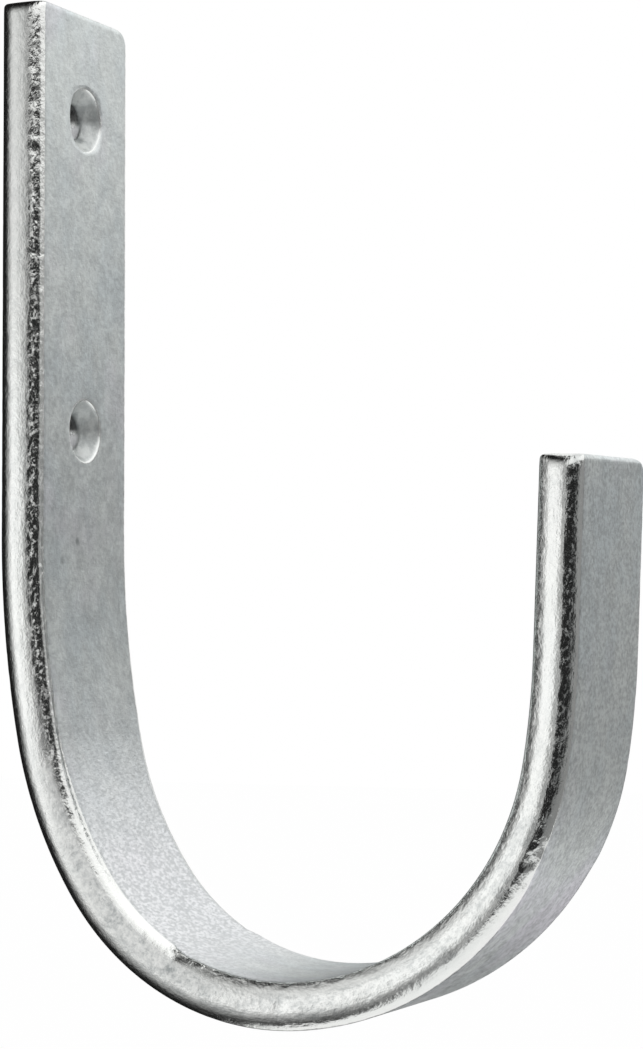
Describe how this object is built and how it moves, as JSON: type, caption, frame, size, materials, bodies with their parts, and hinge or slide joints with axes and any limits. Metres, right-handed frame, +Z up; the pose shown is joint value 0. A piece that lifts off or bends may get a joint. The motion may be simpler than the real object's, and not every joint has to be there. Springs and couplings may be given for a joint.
{
  "type": "utility hook",
  "caption": "J-shaped wall hook bent from round-edged flat steel bar, with countersunk screw holes in its straight back leg and a shorter front leg that leans out.",
  "frame": {"origin": "midway between the two screw holes, on the back face that lies against the wall", "axes": "+Z up along the back leg, +Y into the wall, +X across the width of the bar"},
  "size_m": [0.025, 0.0797, 0.1309],
  "materials": {
    "zinc_plated_steel": "satin zinc plating"
  },
  "bodies": {
    "root": {"utility_hook": "zinc_plated_steel"}
  },
  "joints": []
}
